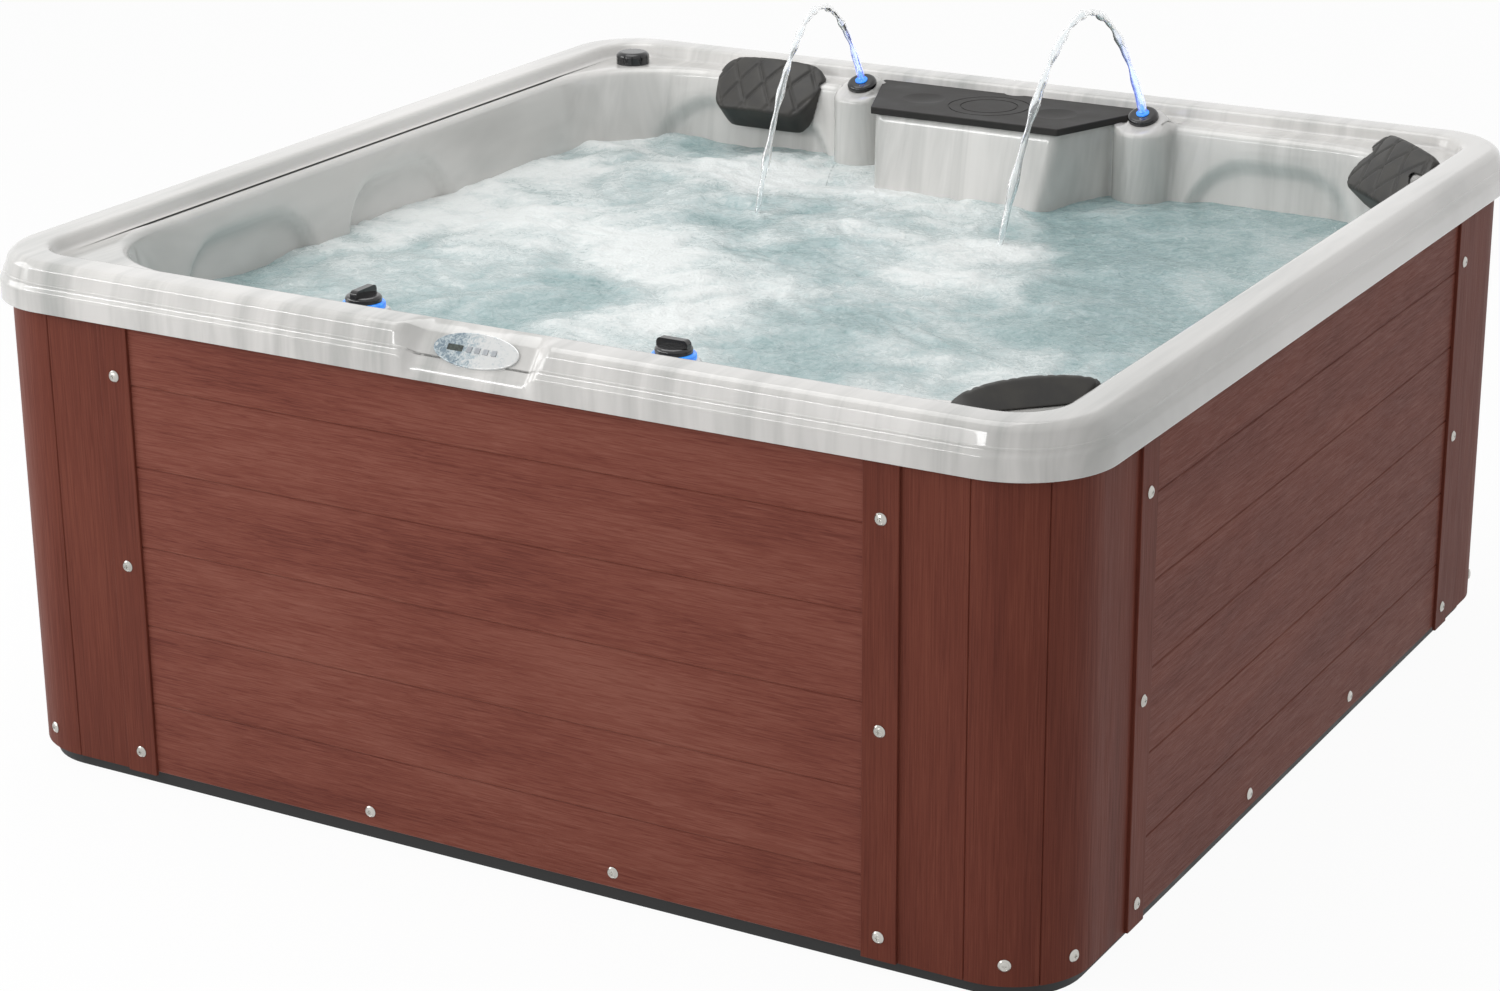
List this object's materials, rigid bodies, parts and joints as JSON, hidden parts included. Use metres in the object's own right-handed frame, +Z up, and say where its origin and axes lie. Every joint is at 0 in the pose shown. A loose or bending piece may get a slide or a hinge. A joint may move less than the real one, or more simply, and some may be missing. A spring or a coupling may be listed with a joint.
{
  "type": "hot tub",
  "caption": "Square free-standing acrylic hot tub in a board-clad cabinet, with control panel, filter housing, deck fountains, diverter handles and head pillows.",
  "frame": {"origin": "on the floor, under the middle of the tub", "axes": "+Z up, +X to the right as seen from the control side, +Y from the control side to the filter side"},
  "size_m": [2.134, 2.134, 0.9632],
  "materials": {
    "acrylic_shell": "pearl marbled, polished",
    "black_abs_pan": "moulded, matt",
    "softwood_frame": "planed softwood",
    "skirt_board": "wood-grained, satin, red brown",
    "stainless_screw": "stainless steel",
    "panel_face": "clear domed overlay over silver blue",
    "display_window": "display window",
    "circuit_board": "green laminate",
    "panel_key": "soft key",
    "black_fitting": "moulded, satin gloss",
    "lit_ring": "clear, lit blue",
    "white_pvc": "rigid pipe plastic",
    "charcoal_lid": "fine textured moulding",
    "filter_media": "pleated non-woven",
    "pillow_foam": "skinned soft foam",
    "grey_fitting": "moulded grey",
    "lamp_lens": "prismatic lens",
    "black_pump_plastic": "glass-filled moulding",
    "motor_enamel": "enamelled casing",
    "heater_steel": "stainless tube",
    "grey_enamel": "powder coat",
    "cable_rubber": "round sheath"
  },
  "bodies": {
    "tub": {"tub_shell": "acrylic_shell", "base_pan": "black_abs_pan", "bottom_frame": "softwood_frame", "upper_frame": "softwood_frame", "front_boards": "skirt_board", "right_boards": "skirt_board", "back_boards": "skirt_board", "left_boards": "skirt_board", "corner_boards_front_left": "skirt_board", "corner_boards_front_right": "skirt_board", "corner_boards_back_left": "skirt_board", "corner_boards_back_right": "skirt_board", "battens": "skirt_board", "skirt_screws": "stainless_screw", "screw_cups": "stainless_screw", "control_panel": "panel_face", "display_window": "display_window", "circuit_board": "circuit_board", "diverter_light_rings": "lit_ring", "diverter_valves": "white_pvc", "air_valve": "white_pvc", "fountain_rings": "black_fitting", "fountain_bodies": "white_pvc", "filter_mount": "white_pvc", "skimmer_grille": "charcoal_lid", "jet_bodies": "white_pvc", "small_jet_nozzles": "grey_fitting", "suction_covers": "grey_fitting", "light_lens": "lamp_lens", "light_housing": "white_pvc", "pump_housing": "black_pump_plastic", "pump_motor": "motor_enamel", "pipework": "white_pvc", "heater_tube": "heater_steel", "heater_element": "heater_steel", "control_box": "grey_enamel", "internal_cables": "cable_rubber", "drain_valve": "black_fitting", "cable_gland": "black_fitting"},
    "jets_key": {"button_jets": "panel_key"},
    "light_key": {"button_light": "panel_key"},
    "warmer_key": {"button_warmer": "panel_key"},
    "cooler_key": {"button_cooler": "panel_key"},
    "left_diverter": {"diverter_handle_left": "black_fitting"},
    "right_diverter": {"diverter_handle_right": "black_fitting"},
    "air_control": {"air_knob": "black_fitting"},
    "left_fountain": {"fountain_nozzle_left": "lit_ring"},
    "right_fountain": {"fountain_nozzle_right": "lit_ring"},
    "lid": {"filter_lid": "charcoal_lid"},
    "left_cartridge": {"filter_cartridge_left": "filter_media"},
    "right_cartridge": {"filter_cartridge_right": "filter_media"},
    "back_left_pillow": {"pillow_back_left": "pillow_foam"},
    "back_right_pillow": {"pillow_back_right": "pillow_foam"},
    "front_right_pillow": {"pillow_front_right": "pillow_foam"},
    "jet_insert_1": {"jet_face_1": "grey_fitting"},
    "jet_insert_2": {"jet_face_2": "grey_fitting"},
    "jet_insert_3": {"jet_face_3": "grey_fitting"},
    "jet_insert_4": {"jet_face_4": "grey_fitting"},
    "impeller": {"pump_impeller": "black_pump_plastic"},
    "cap": {"drain_cap": "black_fitting"}
  },
  "joints": [
    {"name": "jets_press", "type": "slide", "parent": "tub", "child": "jets_key", "axis": [0, 0.76, -0.6499], "range_m": [0, 0.001], "stiffness_N_per_m": 600},
    {"name": "light_press", "type": "slide", "parent": "tub", "child": "light_key", "axis": [0, 0.76, -0.6499], "range_m": [0, 0.001], "stiffness_N_per_m": 600},
    {"name": "warmer_press", "type": "slide", "parent": "tub", "child": "warmer_key", "axis": [0, 0.76, -0.6499], "range_m": [0, 0.001], "stiffness_N_per_m": 600},
    {"name": "cooler_press", "type": "slide", "parent": "tub", "child": "cooler_key", "axis": [0, 0.76, -0.6499], "range_m": [0, 0.001], "stiffness_N_per_m": 600},
    {"name": "left_diverter_turn", "type": "hinge", "parent": "tub", "child": "left_diverter", "pos_m": [-0.303, -0.921, 0.924], "axis": [0, 0, 1], "range_deg": [-90, 90]},
    {"name": "right_diverter_turn", "type": "hinge", "parent": "tub", "child": "right_diverter", "pos_m": [0.303, -0.921, 0.924], "axis": [0, 0, 1], "range_deg": [-90, 90]},
    {"name": "air_control_turn", "type": "hinge", "parent": "tub", "child": "air_control", "pos_m": [-0.898, 0.898, 0.924], "axis": [0, 0, 1], "range_deg": [0, 270]},
    {"name": "left_fountain_turn", "type": "hinge", "parent": "tub", "child": "left_fountain", "pos_m": [-0.322, 0.888, 0.938], "axis": [0, -0.3746, 0.9272], "range_deg": [0, 180]},
    {"name": "right_fountain_turn", "type": "hinge", "parent": "tub", "child": "right_fountain", "pos_m": [0.322, 0.888, 0.938], "axis": [0, -0.3746, 0.9272], "range_deg": [0, 180]},
    {"name": "lid_lift", "type": "slide", "parent": "tub", "child": "lid", "axis": [0, 0, 1], "range_m": [0, 0.3]},
    {"name": "left_cartridge_unscrew", "type": "hinge", "parent": "tub", "child": "left_cartridge", "pos_m": [-0.084, 0.838, 0.5], "axis": [0, 0, 1], "range_deg": [0, 360]},
    {"name": "right_cartridge_unscrew", "type": "hinge", "parent": "tub", "child": "right_cartridge", "pos_m": [0.084, 0.838, 0.5], "axis": [0, 0, 1], "range_deg": [0, 360]},
    {"name": "back_left_pillow_pull", "type": "slide", "parent": "tub", "child": "back_left_pillow", "axis": [0, -0.7071, 0.7071], "range_m": [0, 0.06]},
    {"name": "back_right_pillow_pull", "type": "slide", "parent": "tub", "child": "back_right_pillow", "axis": [-0.5, -0.5, 0.7071], "range_m": [0, 0.06]},
    {"name": "front_right_pillow_pull", "type": "slide", "parent": "tub", "child": "front_right_pillow", "axis": [-0.5, 0.5, 0.7071], "range_m": [0, 0.06]},
    {"name": "jet_1_turn", "type": "hinge", "parent": "tub", "child": "jet_insert_1", "pos_m": [-0.9373, -0.415, 0.65675], "axis": [0.989, 0, 0.1478], "range_deg": [0, 180]},
    {"name": "jet_2_turn", "type": "hinge", "parent": "tub", "child": "jet_insert_2", "pos_m": [-0.9373, 0.07, 0.65675], "axis": [0.989, 0, 0.1478], "range_deg": [0, 180]},
    {"name": "jet_3_turn", "type": "hinge", "parent": "tub", "child": "jet_insert_3", "pos_m": [-0.61, 0.8873, 0.65675], "axis": [0, -0.989, 0.1478], "range_deg": [0, 180]},
    {"name": "jet_4_turn", "type": "hinge", "parent": "tub", "child": "jet_insert_4", "pos_m": [0.6, 0.8873, 0.65675], "axis": [0, -0.989, 0.1478], "range_deg": [0, 180]},
    {"name": "impeller_spin", "type": "hinge", "parent": "tub", "child": "impeller", "pos_m": [-0.33, -0.745, 0.208], "axis": [1, 0, 0], "continuous": true},
    {"name": "drain_cap_unscrew", "type": "hinge", "parent": "tub", "child": "cap", "pos_m": [0.2, 1.06, 0.11], "axis": [0, 1, 0], "range_deg": [-720, 0]}
  ]
}
